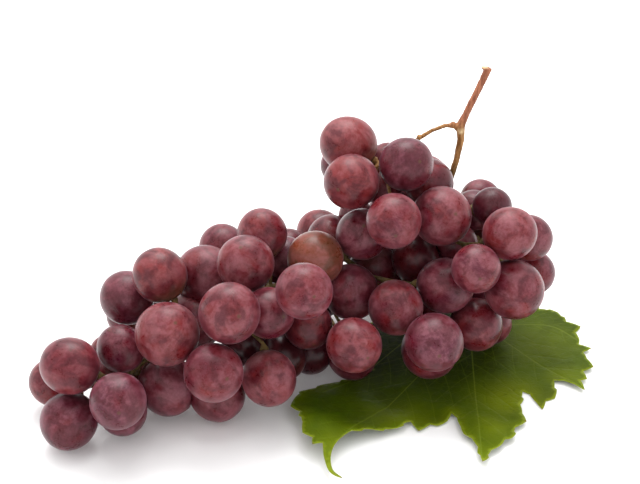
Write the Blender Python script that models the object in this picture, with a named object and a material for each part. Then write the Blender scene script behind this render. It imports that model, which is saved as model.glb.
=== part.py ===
"""A cut bunch of red table grapes lying on its side, with the vine leaf that lies under its thick end.

The berries are placed by branch and then settled, so that none cuts into another, the main stem, the
leaf or the surface. The small stalks grow from the main stem to each berry through the room between the
berries. Lengths are in millimetres until an object is made. +X is the bunch's length with the thick end
at +X, -Y is the side the leaf shows on, and +Z is up. The origin is the middle of the bottom of the box
that holds everything.
"""

import heapq
import math

import bmesh
import bpy
import numpy as np
from mathutils import Matrix, Vector
from mathutils.geometry import delaunay_2d_cdt

MM = 0.001

# Berries
BERRY_WIDTH = 0.96  # width of a berry for a length of 1
BERRY_GAP = 0.5  # room left between two berries
TWIN_PRESS = 2.4  # how far berries that have grown together reach into each other
BERRY_SIDES = 12
BERRY_BANDS = 7
TWIN_SIDES = 10
TWIN_BANDS = 6

# Stem
STEM_SIDES = 8
TWIG_SIDES = 5
STEM_ROOM = 0.9  # room between the main stem and a berry
STALK_RADIUS = 0.75  # of the stalk of one berry
STALK_GROWTH = 0.18  # added radius for each doubling of the berries that a twig carries
STALK_LEAST = 0.4
SKIN_GAP = 0.32  # room between a stalk and any berry
CUSHION_RADIUS = 1.6  # of the swollen end that holds the berry
CUSHION_LENGTH = 2.2
TWIG_STEP = 5.0  # shortest run between two points of a twig
CELL = 2.5  # spacing of the grid on which the twigs find their way
TWIG_TOP = 74.0  # no twig leaves the main stem above this height
TWIG_WING = 40.0  # or leaves the wing branch before it has come this far towards -X
FRONT = (0.0, -0.866, 0.5)  # the twigs would rather be hidden by berries on this side
SHOWN_PRICE = 2.5  # how much dearer a twig's way is where no berry hides it
SIDE_PULL = 40.0  # how strongly a berry's stalk keeps to the side given for it

# Leaf
LEAF_THICKNESS = 0.5
LEAF_CENTRE = (67.0, 8.0)  # where the five veins meet
LEAF_FLAT = 58.0  # the blade lies flat on the surface within this distance of its centre
LEAF_MESH = 9.0  # spacing of the points inside the blade
LEFT_LOBE_RISE = 8.0
MIDDLE_LOBE_RISE = 3.0
RIGHT_LOBE_RISE = 3.0

# Each entry is one berry, or two or three that have grown together: x, y, z of a middle, and a length.
BERRIES = {
    "tail": [
        [(-98.5, -81, 35.5, 23)],
        [(-109.5, -59, 13, 20)],
        [(-100, -86, 12.5, 23)],
        [(-78.5, -95, 28.5, 22.5)],
        [(-79, -79.5, 13, 20)],
        [(-80, -65.5, 33.5, 19.5)],
        [(-76, -45.5, 10, 19), (-88, -45, 18, 15), (-87, -58.5, 17, 16.5)],
    ],
    "lower": [
        [(-60.5, -72, 44.5, 26)],
        [(-80, -37.5, 40, 22.5)],
        [(-65, -45, 55.5, 22)],
        [(-41.5, -85, 35, 23)],
        [(-35.5, -75.5, 56.5, 24)],
        [(-72.5, -20.5, 30, 18.5), (-82.5, -16.5, 18.5, 18)],
        [(-62, -66, 15.5, 22), (-42, -67, 12.5, 23)],
        [(-16.5, -49.5, 19, 20), (-31.5, -50.5, 26, 18)],
    ],
    "middle": [
        [(-20.5, -70.5, 22.5, 22.5)],
        [(-30, -45, 61, 23.5)],
        [(-24, -23, 62.5, 21)],
        [(-2, -30.5, 54.5, 22.5)],
        [(-6, -73, 65, 22.5)],
        [(-20.5, -60.5, 47, 21)],
        [(13, -29.5, 38, 20.5)],
        [(13.5, -63, 33.5, 22.5)],
        [(-52, -37.5, 29.5, 19), (-47.5, -29.5, 45.5, 23)],
        [(-5, -52, 36, 20)],
        [(-41.5, -7, 46, 20.5), (-45, -14, 30, 20)],
        [(-23.5, -22.5, 25, 24), (-27.5, -1, 24.5, 24)],
        [(-13.5, 0.5, 41.5, 17.5), (-14.5, -14.5, 45.5, 18.5)],
        [(-0.5, -10.5, 27.5, 24), (-6, 9, 20.5, 24)],
        [(13.5, -37.5, 11.5, 21), (-4, -36, 12, 18.5)],
    ],
    "wing": [
        [(30, -35, 75, 22.5)],
        [(50, -22.5, 70.5, 25)],
        [(13, -20, 85, 23)],
        [(35.5, -14, 90, 22.5)],
        [(46, 0.5, 73.5, 21)],
        [(12, 4, 90, 24), (8.5, 14, 75, 17)],
        [(26.5, -0.5, 73, 17), (29, 13.5, 76.5, 17)],
    ],
    "shoulder": [
        [(0, 16.5, 40.5, 20)],
        [(17.5, -19.5, 60, 22)],
        [(72.5, -7.5, 66.5, 16.5)],
        [(77.5, -31, 67, 22)],
        [(88.5, -8.5, 52, 20)],
        [(63, -46.5, 59.5, 20)],
        [(80, -37.5, 44, 25)],
        [(91.5, -3.5, 32, 20)],
        [(52, -34.5, 44, 23.5)],
        [(31, -45, 40, 23)],
        [(46, -63.5, 35, 24)],
        [(45.5, -45, 19, 23.5)],
        [(65.5, -34.5, 25, 22)],
        [(5, -2, 47.5, 19.5), (15.5, 4.5, 55.5, 14.5)],
        [(70.5, 20.5, 55, 17.5), (66.5, 6, 57.5, 17.5)],
        [(74, -10.5, 10.5, 18.5), (69.5, -7.5, 26.5, 20)],
        [(58, -9, 49, 18.5), (41.5, -11.5, 43, 22), (44.5, -20, 28, 18)],
    ],
    "back": [
        [(56, 16.5, 39.5, 24), (77, 13.5, 36, 24)],
        [(32, 17.5, 47.5, 24), (45.5, 22.5, 63, 23)],
        [(38, 32, 28, 24), (17, 29, 31, 24)],
        [(60, 10.5, 16.5, 24), (40, 6, 23.5, 24), (23.5, -0.5, 32, 20)],
    ],
}

# The side of the berry that its stalk joins, for the berries whose stalks show.
STALK_SIDES = {
    "berry_tail_01": (1.0, 0.0, 0.0),
    "berry_lower_03": (0.74, -0.34, -0.58),
    "berry_middle_01": (0.0, 0.5, 0.87),
    "berry_middle_03": (0.53, -0.41, -0.71),
    "berry_middle_04": (0.94, 0.17, 0.29),
    "twin_berries_wing_06": (0.89, -0.23, -0.4),
    "berry_shoulder_04": (-0.98, -0.1, -0.17),
    "berry_shoulder_09": (-1.0, 0.0, 0.0),
    "berry_shoulder_10": (-0.43, 0.45, 0.78),
}

# x, y, z and radius along the main stem, from its cut end to the tail of the bunch.
MAIN_STEM = [
    (70, 12, 121.5, 1.6),
    (66, 11, 112, 1.4),
    (61, 9.5, 101, 1.5),
    (59, 9, 96, 2.0),
    (59.5, 9, 90, 1.5),
    (58, 9, 80, 1.3),
    (56, 10, 71, 1.4),
    (49, 9, 64, 1.5),
    (41, 4, 58, 1.5),
    (28, -2, 55, 1.5),
    (18, -9, 50, 1.5),
    (8, -16, 46, 1.4),
    (-3, -22, 41, 1.4),
    (-18, -28, 40, 1.3),
    (-32, -35, 39, 1.3),
    (-45, -45, 37, 1.2),
    (-57, -51, 32, 1.1),
    (-68, -60, 27, 1.0),
    (-80, -68, 20, 0.8),
]
# The side branch that carries the wing, from the fork near the cut end.
WING_STEM = [
    (59, 9, 96, 1.3),
    (53, 9, 96.5, 0.9),
    (47, 9, 94, 0.8),
    (42, 10, 90, 0.9),
    (32, 4, 85, 0.9),
    (24, -2, 83, 0.8),
]

# x, y of the teeth and notches round the leaf's rim, clockwise seen from above.
LEAF_RIM = [
    (99, 17), (107, 14), (110, 6), (116, 2), (113, -3), (114, -9), (113, -13),
    (118, -17), (114, -20), (115, -26), (117, -32), (112, -35), (113, -41), (110, -42),
    (111, -49), (107, -45), (103, -42), (99, -41), (98, -53), (94, -55), (92, -61),
    (90, -56), (88, -50), (85, -48), (83, -58), (83, -66), (84, -72), (79, -76),
    (77, -84), (74, -85), (72, -89), (68, -92), (64, -100), (63, -90), (61, -84),
    (58, -81), (57, -76), (56, -69), (54, -65), (52, -70), (48, -73), (45, -72),
    (40, -77), (37, -71), (30, -78), (21, -81), (13, -86), (8, -94), (5, -101),
    (8, -109), (2, -104), (1, -96), (-3, -95), (-3, -90), (-7, -87), (-7, -80),
    (-8, -72), (-12, -67), (-10, -60), (-6, -53), (4, -45), (14, -40), (22, -32),
    (18, -22), (21, -12), (18, -2), (24, 6), (25, 16), (33, 20), (38, 29),
    (46, 27), (55, 33), (59, 26), (64, 24), (66, 14), (70, 15), (71, 25),
    (77, 33), (82, 31), (88, 36), (91, 28), (96, 27),
]


def clear_scene():
    for thing in list(bpy.data.objects):
        bpy.data.objects.remove(thing)


def make_material(name, colour, roughness):
    material = bpy.data.materials.new(name)
    material.use_nodes = True
    shader = material.node_tree.nodes["Principled BSDF"]
    shader.inputs["Base Color"].default_value = (*colour, 1.0)
    shader.inputs["Roughness"].default_value = roughness
    shader.inputs["Metallic"].default_value = 0.0
    return material


def link_mesh(name, builder, material):
    mesh = bpy.data.meshes.new(name)
    builder.to_mesh(mesh)
    builder.free()
    mesh.materials.append(material)
    thing = bpy.data.objects.new(name, mesh)
    bpy.context.scene.collection.objects.link(thing)
    return thing


def dense_line(points, spacing=1.5):
    """Points and radii read every spacing millimetres along a line of (x, y, z, radius)."""
    points = np.array(points, float)
    read = []
    for start, end in zip(points[:-1], points[1:]):
        count = max(1, int(np.linalg.norm(end[:3] - start[:3]) / spacing))
        for step in range(count):
            read.append(start + (end - start) * step / count)
    read.append(points[-1])
    return np.array(read)


def read_berries():
    """The centres and half lengths of all berries, and for each node its name and its berries' rows."""
    rows = []
    nodes = []
    for branch, entries in BERRIES.items():
        for number, entry in enumerate(entries, 1):
            kind = ("berry", "twin_berries", "triple_berries")[len(entry) - 1]
            nodes.append((f"{kind}_{branch}_{number:02d}", list(range(len(rows), len(rows) + len(entry)))))
            rows.extend(entry)
    rows = np.array(rows, float)
    return rows[:, :3], rows[:, 3] / 2, nodes


def settle(centres, halves, nodes, stem):
    """Moves the berries apart, off the stem and up from the leaf and the surface, until nothing cuts."""
    count = len(centres)
    reach = halves[:, None] + halves[None] + BERRY_GAP
    twin = np.zeros((count, count), bool)
    for _, members in nodes:
        for first, second in zip(members[:-1], members[1:]):
            twin[first, second] = True
            twin[second, first] = True
    reach = np.where(twin, halves[:, None] + halves[None] - TWIN_PRESS, reach)
    own = np.arange(count)
    for _ in range(900):
        apart = centres[:, None] - centres[None]
        far = np.linalg.norm(apart, axis=2) + 1e-9
        short = np.where(twin, reach - far, np.maximum(0, reach - far))
        np.fill_diagonal(short, 0)
        push = ((short / far)[:, :, None] * apart * 0.35).sum(1)
        away = centres[:, None] - stem[None, :, :3]
        gap = np.linalg.norm(away, axis=2) + 1e-9
        lack = np.maximum(0, halves[:, None] + stem[None, :, 3] + STEM_ROOM - gap)
        worst = lack.argmax(1)
        push += away[own, worst] * (lack[own, worst] / gap[own, worst])[:, None] * 0.6
        push[:, 2] += np.maximum(0, halves + floor_under(centres, halves) - centres[:, 2]) * 0.8
        centres = centres + push
    return centres


def leaf_height(x, y):
    """Height of the blade's underside: flat round the centre, then each lobe lifts and dips again."""
    dx = x - LEAF_CENTRE[0]
    dy = y - LEAF_CENTRE[1]
    out = math.hypot(dx, dy)
    bearing = math.degrees(math.atan2(dy, dx))
    left = bell(bearing, -128, 26)
    middle = bell(bearing, -90, 17)
    right = bell(bearing, -30, 42)
    lift = LEFT_LOBE_RISE * left * ease((out - 74) / 32)
    lift -= LEFT_LOBE_RISE * left * ease((out - 122) / 16) * 0.95
    lift += MIDDLE_LOBE_RISE * middle * ease((out - LEAF_FLAT) / 25)
    lift += RIGHT_LOBE_RISE * right * ease((out - 44) / 22)
    return max(0.0, lift)


def bell(value, middle, width):
    """1 at the middle, falling to 0 at width on either side."""
    return ease(1 - abs(value - middle) / width)


def ease(share):
    share = min(1.0, max(0.0, share))
    return share * share * (3 - 2 * share)


def floor_under(centres, halves):
    """How far above the surface each berry has to stay: over the leaf it stays above the blade."""
    floors = np.full(len(centres), 0.15)
    rim = np.array(LEAF_RIM, float)
    low = rim.min(0)
    high = rim.max(0)
    for index, (x, y, _) in enumerate(centres):
        near = halves[index] * 0.6
        inside = low[0] - near < x < high[0] + near and low[1] - near < y < high[1] + near
        if inside:
            floors[index] = LEAF_THICKNESS + 0.6
    return floors


def clear_room(points, centres, halves):
    """Distance from each point to the nearest berry's skin, and which berry that is."""
    room = np.full(len(points), 1e9)
    nearest = np.zeros(len(points), int)
    for index, (centre, half) in enumerate(zip(centres, halves)):
        gap = np.linalg.norm(points - centre, axis=1) - half
        closer = gap < room
        room[closer] = gap[closer]
        nearest[closer] = index
    return room, nearest


def hidden(points, centres, halves):
    """Whether a berry stands between each point and the front."""
    covered = np.zeros(len(points), bool)
    for centre, half in zip(centres, halves):
        way = centre - points
        along = way @ np.array(FRONT)
        aside = (way**2).sum(1) - along**2
        covered |= (along > 0) & (aside < half**2)
    return covered


def find_ways(centres, halves, roots):
    """The cheapest way from the roots to every open cell of a grid through the bunch."""
    low = centres.min(0) - 6
    low[2] = 3.0
    shape = tuple(np.ceil((centres.max(0) + 8 - low) / CELL).astype(int))
    grid = np.stack(np.meshgrid(*[np.arange(size) for size in shape], indexing="ij"), -1).reshape(-1, 3)
    spots = low + grid * CELL
    room, _ = clear_room(spots, centres, halves)
    price = 1 + 1.6 * np.maximum(0, 2.4 - room) ** 2
    price[~hidden(spots, centres, halves)] *= SHOWN_PRICE
    price[(room < 0.5) | (room > 9)] = np.inf
    price = price.reshape(shape)
    cost = {}
    came = {}
    queue = []
    for point in roots:
        cell = tuple(np.round((point[:3] - low) / CELL).astype(int))
        inside = all(0 <= c < size for c, size in zip(cell, shape))
        if inside and cell not in cost:
            cost[cell] = 0.0
            came[cell] = None
            heapq.heappush(queue, (0.0, cell))
    steps = [(i, j, k) for i in (-1, 0, 1) for j in (-1, 0, 1) for k in (-1, 0, 1) if (i, j, k) != (0, 0, 0)]
    steps = [(step, CELL * math.sqrt(sum(s * s for s in step))) for step in steps]
    done = set()
    while queue:
        spent, cell = heapq.heappop(queue)
        if cell in done:
            continue
        done.add(cell)
        for (i, j, k), run in steps:
            other = (cell[0] + i, cell[1] + j, cell[2] + k)
            if min(other) < 0 or other[0] >= shape[0] or other[1] >= shape[1] or other[2] >= shape[2]:
                continue
            toll = price[other]
            if not toll < 1e6:
                continue
            total = spent + run * toll
            if total < cost.get(other, 1e18):
                cost[other] = total
                came[other] = cell
                heapq.heappush(queue, (total, other))
    return low, cost, came


def grow_twigs(centres, halves, sides, stem):
    """The tree of twig points: position, parent, and the last point before each berry."""
    low, cost, came = find_ways(centres, halves, stem)
    cells = np.array(sorted(cost))
    spots = low + cells * CELL
    costs = np.array([cost[tuple(cell)] for cell in cells])
    ends = []
    for centre, half, side in zip(centres, halves, sides):
        away = spots - centre
        far = np.linalg.norm(away, axis=1)
        off = far - half
        usable = (off > 1.4) & (off < 4.6)
        score = costs + 2.0 * off - SIDE_PULL * (away @ side) / far
        score = np.where(usable, score, np.inf)
        ends.append(tuple(cells[int(score.argmin())]))
    order = {}
    parents = []
    places = []

    def add(cell):
        if cell in order:
            return order[cell]
        parent = -1 if came[cell] is None else add(came[cell])
        order[cell] = len(parents)
        parents.append(parent)
        places.append(low + np.array(cell) * CELL)
        return order[cell]

    tips = [add(cell) for cell in ends]
    places = np.array(places)
    parents = np.array(parents)
    roots = parents < 0
    for index in np.where(roots)[0]:
        nearest = np.linalg.norm(stem[:, :3] - places[index], axis=1).argmin()
        places[index] = stem[nearest, :3]
    return relax_twigs(places, parents, roots, centres, halves), parents, tips


def relax_twigs(places, parents, roots, centres, halves):
    """Smooths the twigs and keeps them in the middle of the room between the berries."""
    kids = [[] for _ in parents]
    for index, parent in enumerate(parents):
        if parent >= 0:
            kids[parent].append(index)
    free = np.where(~roots)[0]
    need = STALK_RADIUS + SKIN_GAP + 0.35
    for _ in range(60):
        moved = places.copy()
        for index in free:
            joined = [places[kid] for kid in kids[index]]
            pull = places[parents[index]]
            if joined:
                pull = (pull + np.mean(joined, axis=0)) / 2
                moved[index] = places[index] + 0.4 * (pull - places[index])
        for _ in range(3):
            room, nearest = clear_room(moved, centres, halves)
            lack = np.maximum(0, need - room)
            lack[roots] = 0
            away = moved - centres[nearest]
            moved += away / np.linalg.norm(away, axis=1)[:, None] * lack[:, None]
        low = (moved[:, 2] < 3.2) & ~roots
        moved[low, 2] = 3.2
        places = moved
    return places


def twig_chains(parents, tips):
    """The runs between forks, each from its fork outwards, with the berries that each run carries."""
    carried = np.zeros(len(parents), int)
    for tip in tips:
        index = tip
        while index >= 0:
            carried[index] += 1
            index = parents[index]
    kids = [[] for _ in parents]
    for index, parent in enumerate(parents):
        if parent >= 0:
            kids[parent].append(index)
    ends = set(tips)
    chains = []
    for index, parent in enumerate(parents):
        fork = parent >= 0 and (parents[parent] < 0 or len(kids[parent]) > 1 or parent in ends)
        if not fork:
            continue
        run = [parent, index]
        while len(kids[run[-1]]) == 1 and run[-1] not in ends:
            run.append(kids[run[-1]][0])
        chains.append((run, carried[index]))
    return chains


def thin_out(points):
    """Drops points nearer than a twig step to the one before, and keeps both ends."""
    kept = [points[0]]
    for point in points[1:-1]:
        if np.linalg.norm(point - kept[-1]) > TWIG_STEP and np.linalg.norm(point - points[-1]) > TWIG_STEP * 0.6:
            kept.append(point)
    kept.append(points[-1])
    return kept


def fitted_radii(points, radius, centres, halves):
    """The radius at each point, made thinner where the room between the berries is narrow."""
    radii = []
    for index, point in enumerate(points):
        near = [point]
        if index > 0:
            near += [point + (points[index - 1] - point) * share for share in (0.17, 0.33, 0.5)]
        if index < len(points) - 1:
            near += [point + (points[index + 1] - point) * share for share in (0.17, 0.33, 0.5)]
        room, _ = clear_room(np.array(near), centres, halves)
        radii.append(max(STALK_LEAST, min(radius, room.min() - SKIN_GAP)))
    return radii


def add_tube(builder, points, radii, sides):
    """A closed tube along the points, with its rings turned as little as possible."""
    points = [Vector(point) for point in points]
    rings = []
    side = None
    for index, point in enumerate(points):
        before = points[max(0, index - 1)]
        after = points[min(len(points) - 1, index + 1)]
        along = (after - before).normalized()
        if side is None:
            side = along.orthogonal().normalized()
        side = (side - along * side.dot(along)).normalized()
        across = along.cross(side)
        ring = []
        for corner in range(sides):
            angle = 2 * math.pi * corner / sides
            offset = side * math.cos(angle) + across * math.sin(angle)
            ring.append(builder.verts.new((point + offset * radii[index]) * MM))
        rings.append(ring)
    for ring, following in zip(rings[:-1], rings[1:]):
        for corner in range(sides):
            after = (corner + 1) % sides
            builder.faces.new((ring[corner], ring[after], following[after], following[corner]))
    builder.faces.new(list(reversed(rings[0])))
    builder.faces.new(rings[-1])


def make_stem(places, parents, tips, centres, halves, shift, material):
    """The whole stem as one grown piece: main stem, wing branch, twigs and stalks."""
    main = bmesh.new()
    line = np.array(MAIN_STEM, float)
    add_tube(main, line[:, :3] + shift, line[:, 3], STEM_SIDES)
    twigs = bmesh.new()
    wing = np.array(WING_STEM, float)
    add_tube(twigs, wing[:, :3] + shift, wing[:, 3], STEM_SIDES - 2)
    for run, carried in twig_chains(parents, tips):
        points = thin_out([places[index] for index in run])
        radius = STALK_RADIUS + STALK_GROWTH * math.log2(max(1, carried))
        radii = fitted_radii(points, radius, centres, halves)
        add_tube(twigs, np.array(points) + shift, radii, TWIG_SIDES)
    for berry, tip in enumerate(tips):
        axis = places[tip] - centres[berry]
        axis = axis / np.linalg.norm(axis)
        start = centres[berry] + axis * (halves[berry] + SKIN_GAP)
        collar = start + axis * min(CUSHION_LENGTH, 0.7 * np.linalg.norm(places[tip] - start))
        room, _ = clear_room(np.array([start, collar]), np.delete(centres, berry, 0), np.delete(halves, berry))
        wide = max(STALK_LEAST, min(CUSHION_RADIUS, room.min() - SKIN_GAP))
        slim = max(STALK_LEAST, min(STALK_RADIUS, room.min() - SKIN_GAP))
        add_tube(twigs, [start + shift, collar + shift, places[tip] + shift], [wide, slim, slim], TWIG_SIDES)
    stem = link_mesh("stem", main, material)
    cutter = link_mesh("stem_twigs", twigs, material)
    cutter.hide_render = True
    cutter.display_type = "WIRE"
    union = stem.modifiers.new("twigs", "BOOLEAN")
    union.operation = "UNION"
    union.solver = "EXACT"
    union.use_self = True
    union.object = cutter
    stem.data.shade_smooth()
    return stem


def berry_mesh(half, sides, bands):
    """One berry along its own Z, with the stem end at +Z."""
    builder = bmesh.new()
    bmesh.ops.create_uvsphere(builder, u_segments=sides, v_segments=bands, radius=1.0)
    width = half * BERRY_WIDTH * MM
    bmesh.ops.scale(builder, vec=(width, width, half * MM), verts=builder.verts)
    return builder


def place_berry(name, index, sides, bands, layout, material):
    centres, halves, axes, shift = layout
    thing = link_mesh(name, berry_mesh(halves[index], sides, bands), material)
    thing.data.shade_smooth()
    thing.location = Vector(centres[index] + shift) * MM
    thing.rotation_euler = Vector(axes[index]).to_track_quat("Z", "Y").to_euler()
    return thing


def make_berries(nodes, layout, material):
    """One object for each berry, and one for each two or three that have grown together."""
    for name, members in nodes:
        if len(members) == 1:
            place_berry(name, members[0], BERRY_SIDES, BERRY_BANDS, layout, material)
            continue
        thing = place_berry(name, members[0], TWIN_SIDES, TWIN_BANDS, layout, material)
        for number, member in enumerate(members[1:], 2):
            other = place_berry(f"{name}_{number}", member, TWIN_SIDES, TWIN_BANDS, layout, material)
            other.hide_render = True
            other.display_type = "WIRE"
            union = thing.modifiers.new(f"grown together {number}", "BOOLEAN")
            union.operation = "UNION"
            union.solver = "EXACT"
            union.object = other


def stalk_sides(nodes, count):
    """The side given for each berry's stalk, or nothing where the stalk may join anywhere."""
    sides = np.zeros((count, 3))
    for name, members in nodes:
        sides[members[0]] = STALK_SIDES.get(name, (0.0, 0.0, 0.0))
    return sides


def make_leaf(shift, material):
    """The blade as one sheet over its rim, lifted by its height and made thick."""
    rim = [Vector(point) for point in LEAF_RIM]
    edges = [(index, (index + 1) % len(rim)) for index in range(len(rim))]
    inner = []
    rows = int(160 / LEAF_MESH)
    for row in range(rows):
        for column in range(rows):
            x = -20 + (column + 0.5 * (row % 2)) * LEAF_MESH
            y = -112 + row * LEAF_MESH * 0.87
            spot = Vector((x, y))
            if min((spot - point).length for point in rim) > LEAF_MESH * 0.55:
                inner.append(spot)
    spots, _, faces, _, _, _ = delaunay_2d_cdt(rim + inner, edges, [], 1, 1e-4)
    builder = bmesh.new()
    used = sorted({corner for face in faces for corner in face})
    corners = {}
    for index in used:
        x, y = spots[index]
        place = Vector((x, y, leaf_height(x, y))) + Vector(shift)
        corners[index] = builder.verts.new(place * MM)
    for face in faces:
        made = builder.faces.new([corners[corner] for corner in face])
        made.normal_update()
        if made.normal.z < 0:
            made.normal_flip()
    leaf = link_mesh("leaf", builder, material)
    thick = leaf.modifiers.new("thickness", "SOLIDIFY")
    thick.thickness = LEAF_THICKNESS * MM
    thick.offset = 1.0
    leaf.data.shade_smooth()
    return leaf


def middle_of_the_bottom(centres, halves):
    """The middle of the bottom of the box round the berries, the stem and the leaf."""
    rim = np.array([(x, y, 0.0) for x, y in LEAF_RIM])
    stem = np.array(MAIN_STEM, float)[:, :3]
    low = np.minimum(np.minimum(rim.min(0), stem.min(0)), (centres - halves[:, None]).min(0))
    high = np.maximum(np.maximum(rim.max(0), stem.max(0)), (centres + halves[:, None]).max(0))
    middle = (low + high) / 2
    return np.array([middle[0], middle[1], 0.0])


def build():
    clear_scene()
    skin = make_material("berry_skin", (0.24, 0.055, 0.075), 0.38)
    bark = make_material("stem_bark", (0.30, 0.15, 0.06), 0.65)
    blade = make_material("leaf_blade", (0.05, 0.16, 0.02), 0.45)
    centres, halves, nodes = read_berries()
    main_line = dense_line(MAIN_STEM)
    wing_line = dense_line(WING_STEM)
    centres = settle(centres, halves, nodes, np.concatenate([main_line, wing_line]))
    roots = np.concatenate([main_line[main_line[:, 2] < TWIG_TOP], wing_line[wing_line[:, 0] < TWIG_WING]])
    places, parents, tips = grow_twigs(centres, halves, stalk_sides(nodes, len(centres)), roots)
    axes = places[tips] - centres
    shift = -middle_of_the_bottom(centres, halves)
    make_stem(places, parents, tips, centres, halves, shift, bark)
    make_berries(nodes, (centres, halves, axes, shift), skin)
    make_leaf(shift, blade)


build()
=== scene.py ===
"""Looks of a cut bunch of red table grapes lying on a vine leaf.

Every berry, the stem and the leaf is rebuilt as a fine piece in the place of its CAD node. Lengths are in
metres in the model's own frame, except where a comment says that a table is in millimetres.
"""

import math

import bmesh
import bpy
import numpy as np
from mathutils import Matrix, Vector, noise
from mathutils.bvhtree import BVHTree
from mathutils.geometry import delaunay_2d_cdt


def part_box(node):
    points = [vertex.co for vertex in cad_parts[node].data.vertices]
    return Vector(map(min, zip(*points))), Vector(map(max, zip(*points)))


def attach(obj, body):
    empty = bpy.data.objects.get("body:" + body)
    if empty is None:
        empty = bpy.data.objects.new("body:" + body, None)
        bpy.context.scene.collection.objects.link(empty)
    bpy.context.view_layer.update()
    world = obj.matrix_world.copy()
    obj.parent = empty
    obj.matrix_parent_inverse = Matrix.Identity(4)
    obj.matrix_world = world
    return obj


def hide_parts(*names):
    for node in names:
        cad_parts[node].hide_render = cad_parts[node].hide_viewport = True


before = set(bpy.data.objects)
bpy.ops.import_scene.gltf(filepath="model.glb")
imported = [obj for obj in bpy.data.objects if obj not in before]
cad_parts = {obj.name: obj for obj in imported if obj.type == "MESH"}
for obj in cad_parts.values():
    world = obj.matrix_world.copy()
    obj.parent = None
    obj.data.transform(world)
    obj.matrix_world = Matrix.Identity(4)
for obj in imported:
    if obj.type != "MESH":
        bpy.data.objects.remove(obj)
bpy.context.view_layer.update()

MM = 0.001

# Camera and lights
CAMERA_TARGET = (0.00075, 0.0325, 0.045)
CAMERA_ELEVATION = 30.0
CAMERA_DISTANCE = 0.75
CAMERA_LENS = 97.9
SENSOR_WIDTH = 36.0
SKY_STRENGTH = 1.35
FLOOR_SIZE = 6.0
FLOOR_DROP = 0.2 * MM  # how far the floor lies below the lowest point of the CAD
LIGHT_AIM = (0.0, 0.02, 0.03)
OVERHEAD_PLACE = (-0.05, 0.40, 0.95)
OVERHEAD_SIZE = 1.1
OVERHEAD_POWER = 6.5
KEY_PLACE = (-0.02, 0.36, 0.75)
KEY_SIZE = 0.40
KEY_POWER = 3.0

# Berries
BERRY_SEGMENTS = 44
BERRY_RINGS = 30
BERRY_GROWTH = 0.3 * MM  # how far a berry's skin stands outside its CAD solid
BERRY_WIDTH = 0.965  # width of a berry for a length of 1
LUMPS = ((0.018, 1.6), (0.013, 2.6), (0.005, 5.0))  # strength and pitch of each set of soft lumps
FLOOR_ROOM = 0.04 * MM  # least height of a berry's skin
LEAF_ROOM = 0.56 * MM  # the same over the leaf

# Millimetres added to the half length of some berries, which then close the gaps between the others.
SWOLLEN = {
    "back_03_a": 1.2,
    "back_04_a": 1.3,
    "lower_03": 0.3,
    "lower_04": 0.4,
    "lower_05": 0.4,
    "lower_06_a": 0.5,
    "lower_07_a": 1.4,
    "lower_08_b": 0.8,
    "middle_04": 0.3,
    "middle_07": 1.5,
    "middle_09_a": 3.2,
    "middle_09_b": 1.5,
    "middle_14_b": 0.8,
    "shoulder_14_a": 1.0,
    "tail_07_c": 1.2,
}

# Stem, in millimetres unless a line says otherwise
FORK_FROM_TIP = (-0.011, -0.003, -0.0255)  # metres
FORK_KNOTS = [
    ((0.7, 0, -0.8), 1.9),
    ((-1.6, 0, 0.3), 1.2),
    ((1.5, -0.5, -3.0), 1.3),
    ((-15.5, 0.5, -6.0), 1.2),
]
SCAR_FROM_FORK = (1.6, -1.2, -2.0)
TIP_SHIFT = (0.5, 0.0, 0.0)
WARTS_PER_BERRY = 5
STEM_VOXEL = 0.34

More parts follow.
